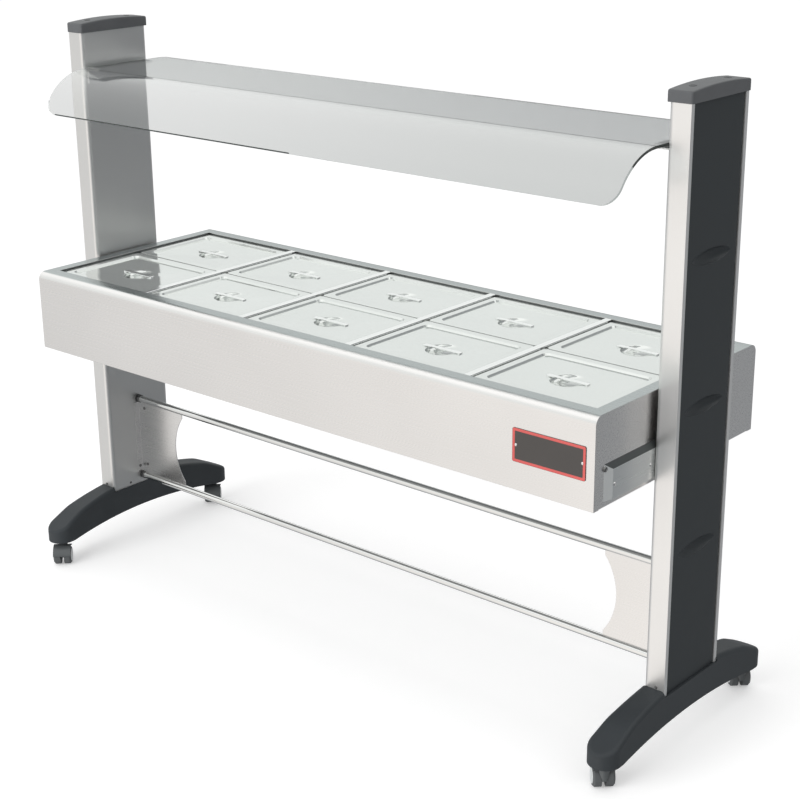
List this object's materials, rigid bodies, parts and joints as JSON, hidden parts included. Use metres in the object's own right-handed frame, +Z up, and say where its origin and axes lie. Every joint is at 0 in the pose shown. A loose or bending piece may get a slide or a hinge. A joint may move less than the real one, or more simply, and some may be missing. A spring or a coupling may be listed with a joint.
{
  "type": "cold buffet counter",
  "caption": "Mobile cold buffet counter: steel basin with lidded food pans, bent glass sneeze guard, two posts on arched feet with swivel casters.",
  "frame": {"origin": "on the floor under the middle of the counter", "axes": "+X along the counter, +Y from the guests' side to the server's side, +Z up"},
  "size_m": [1.9, 0.672, 1.475],
  "materials": {
    "stainless_sheet": "brushed stainless sheet",
    "pan_steel": "polished stainless, deep drawn",
    "lid_steel": "polished stainless, pressed",
    "rail_tube": "polished stainless tube",
    "bolt_steel": "plain steel",
    "post_aluminium": "satin anodised",
    "panel_plastic": "dark grey satin moulding",
    "cap_plastic": "mid grey satin moulding",
    "foot_plastic": "dark grey satin moulding",
    "foam": "rigid foam",
    "pack_plastic": "filled plastic plate",
    "drain_brass": "plated",
    "lever_paint": "dipped lever",
    "clear_glass": "clear bent glass",
    "pad_rubber": "soft grey pad",
    "plate_paint": "dark printed plate, left bare",
    "caster_plastic": "grey moulding",
    "wheel_rubber": "grey tread"
  },
  "bodies": {
    "counter": {"basin_casing": "stainless_sheet", "basin_left_end": "stainless_sheet", "basin_right_end": "stainless_sheet", "basin_base_panel": "stainless_sheet", "inner_well": "stainless_sheet", "pan_support_bars": "stainless_sheet", "left_hanger": "stainless_sheet", "right_hanger": "stainless_sheet", "left_gusset": "stainless_sheet", "right_gusset": "stainless_sheet", "left_glass_bracket": "stainless_sheet", "right_glass_bracket": "stainless_sheet", "upper_rail": "rail_tube", "lower_rail": "rail_tube", "frame_bolts": "bolt_steel", "left_post_profile": "post_aluminium", "left_post_panel": "panel_plastic", "left_post_cap": "cap_plastic", "left_foot": "foot_plastic", "right_post_profile": "post_aluminium", "right_post_panel": "panel_plastic", "right_post_cap": "cap_plastic", "right_foot": "foot_plastic", "insulation": "foam", "cold_packs": "pack_plastic", "drain_fitting": "drain_brass", "sneeze_guard": "clear_glass", "glass_pads": "pad_rubber", "nameplate": "plate_paint"},
    "drain_lever_body": {"drain_lever": "lever_paint"},
    "front_pan_1_body": {"front_pan_1": "pan_steel"},
    "front_lid_1_body": {"front_lid_1": "lid_steel"},
    "front_pan_2_body": {"front_pan_2": "pan_steel"},
    "front_lid_2_body": {"front_lid_2": "lid_steel"},
    "front_pan_3_body": {"front_pan_3": "pan_steel"},
    "front_lid_3_body": {"front_lid_3": "lid_steel"},
    "front_pan_4_body": {"front_pan_4": "pan_steel"},
    "front_lid_4_body": {"front_lid_4": "lid_steel"},
    "front_pan_5_body": {"front_pan_5": "pan_steel"},
    "front_lid_5_body": {"front_lid_5": "lid_steel"},
    "back_pan_1_body": {"back_pan_1": "pan_steel"},
    "back_lid_1_body": {"back_lid_1": "lid_steel"},
    "back_pan_2_body": {"back_pan_2": "pan_steel"},
    "back_lid_2_body": {"back_lid_2": "lid_steel"},
    "back_pan_3_body": {"back_pan_3": "pan_steel"},
    "back_lid_3_body": {"back_lid_3": "lid_steel"},
    "back_pan_4_body": {"back_pan_4": "pan_steel"},
    "back_lid_4_body": {"back_lid_4": "lid_steel"},
    "back_pan_5_body": {"back_pan_5": "pan_steel"},
    "back_lid_5_body": {"back_lid_5": "lid_steel"},
    "front_right_caster_hood_body": {"front_right_caster_hood": "caster_plastic"},
    "front_right_caster_wheels_body": {"front_right_caster_wheels": "wheel_rubber"},
    "back_right_caster_hood_body": {"back_right_caster_hood": "caster_plastic"},
    "back_right_caster_wheels_body": {"back_right_caster_wheels": "wheel_rubber"},
    "front_left_caster_hood_body": {"front_left_caster_hood": "caster_plastic"},
    "front_left_caster_wheels_body": {"front_left_caster_wheels": "wheel_rubber"},
    "back_left_caster_hood_body": {"back_left_caster_hood": "caster_plastic"},
    "back_left_caster_wheels_body": {"back_left_caster_wheels": "wheel_rubber"}
  },
  "joints": [
    {"name": "drain_lever_turn", "type": "hinge", "parent": "counter", "child": "drain_lever_body", "pos_m": [0.5175, 0.134, 0.596], "axis": [0, 1, 0], "range_deg": [0, 90]},
    {"name": "front_pan_1_lift", "type": "slide", "parent": "counter", "child": "front_pan_1_body", "axis": [0, 0, 1], "range_m": [0, 0.18]},
    {"name": "front_lid_1_lift", "type": "slide", "parent": "front_pan_1_body", "child": "front_lid_1_body", "axis": [0, 0, 1], "range_m": [0, 0.15]},
    {"name": "front_pan_2_lift", "type": "slide", "parent": "counter", "child": "front_pan_2_body", "axis": [0, 0, 1], "range_m": [0, 0.18]},
    {"name": "front_lid_2_lift", "type": "slide", "parent": "front_pan_2_body", "child": "front_lid_2_body", "axis": [0, 0, 1], "range_m": [0, 0.15]},
    {"name": "front_pan_3_lift", "type": "slide", "parent": "counter", "child": "front_pan_3_body", "axis": [0, 0, 1], "range_m": [0, 0.18]},
    {"name": "front_lid_3_lift", "type": "slide", "parent": "front_pan_3_body", "child": "front_lid_3_body", "axis": [0, 0, 1], "range_m": [0, 0.15]},
    {"name": "front_pan_4_lift", "type": "slide", "parent": "counter", "child": "front_pan_4_body", "axis": [0, 0, 1], "range_m": [0, 0.18]},
    {"name": "front_lid_4_lift", "type": "slide", "parent": "front_pan_4_body", "child": "front_lid_4_body", "axis": [0, 0, 1], "range_m": [0, 0.15]},
    {"name": "front_pan_5_lift", "type": "slide", "parent": "counter", "child": "front_pan_5_body", "axis": [0, 0, 1], "range_m": [0, 0.18]},
    {"name": "front_lid_5_lift", "type": "slide", "parent": "front_pan_5_body", "child": "front_lid_5_body", "axis": [0, 0, 1], "range_m": [0, 0.15]},
    {"name": "back_pan_1_lift", "type": "slide", "parent": "counter", "child": "back_pan_1_body", "axis": [0, 0, 1], "range_m": [0, 0.18]},
    {"name": "back_lid_1_lift", "type": "slide", "parent": "back_pan_1_body", "child": "back_lid_1_body", "axis": [0, 0, 1], "range_m": [0, 0.15]},
    {"name": "back_pan_2_lift", "type": "slide", "parent": "counter", "child": "back_pan_2_body", "axis": [0, 0, 1], "range_m": [0, 0.18]},
    {"name": "back_lid_2_lift", "type": "slide", "parent": "back_pan_2_body", "child": "back_lid_2_body", "axis": [0, 0, 1], "range_m": [0, 0.15]},
    {"name": "back_pan_3_lift", "type": "slide", "parent": "counter", "child": "back_pan_3_body", "axis": [0, 0, 1], "range_m": [0, 0.18]},
    {"name": "back_lid_3_lift", "type": "slide", "parent": "back_pan_3_body", "child": "back_lid_3_body", "axis": [0, 0, 1], "range_m": [0, 0.15]},
    {"name": "back_pan_4_lift", "type": "slide", "parent": "counter", "child": "back_pan_4_body", "axis": [0, 0, 1], "range_m": [0, 0.18]},
    {"name": "back_lid_4_lift", "type": "slide", "parent": "back_pan_4_body", "child": "back_lid_4_body", "axis": [0, 0, 1], "range_m": [0, 0.15]},
    {"name": "back_pan_5_lift", "type": "slide", "parent": "counter", "child": "back_pan_5_body", "axis": [0, 0, 1], "range_m": [0, 0.18]},
    {"name": "back_lid_5_lift", "type": "slide", "parent": "back_pan_5_body", "child": "back_lid_5_body", "axis": [0, 0, 1], "range_m": [0, 0.15]},
    {"name": "front_right_swivel", "type": "hinge", "parent": "counter", "child": "front_right_caster_hood_body", "pos_m": [0.912, -0.286, 0.06], "axis": [0, 0, 1], "continuous": true},
    {"name": "front_right_roll", "type": "hinge", "parent": "front_right_caster_hood_body", "child": "front_right_caster_wheels_body", "pos_m": [0.90019, -0.27377, 0.025], "axis": [-0.7193, -0.6947, 0], "continuous": true},
    {"name": "back_right_swivel", "type": "hinge", "parent": "counter", "child": "back_right_caster_hood_body", "pos_m": [0.912, 0.286, 0.06], "axis": [0, 0, 1], "continuous": true},
    {"name": "back_right_roll", "type": "hinge", "parent": "back_right_caster_hood_body", "child": "back_right_caster_wheels_body", "pos_m": [0.90019, 0.29823, 0.025], "axis": [-0.7193, -0.6947, 0], "continuous": true},
    {"name": "front_left_swivel", "type": "hinge", "parent": "counter", "child": "front_left_caster_hood_body", "pos_m": [-0.912, -0.286, 0.06], "axis": [0, 0, 1], "continuous": true},
    {"name": "front_left_roll", "type": "hinge", "parent": "front_left_caster_hood_body", "child": "front_left_caster_wheels_body", "pos_m": [-0.90019, -0.29823, 0.025], "axis": [0.7193, 0.6947, 0], "continuous": true},
    {"name": "back_left_swivel", "type": "hinge", "parent": "counter", "child": "back_left_caster_hood_body", "pos_m": [-0.912, 0.286, 0.06], "axis": [0, 0, 1], "continuous": true},
    {"name": "back_left_roll", "type": "hinge", "parent": "back_left_caster_hood_body", "child": "back_left_caster_wheels_body", "pos_m": [-0.90019, 0.27377, 0.025], "axis": [0.7193, 0.6947, 0], "continuous": true}
  ]
}
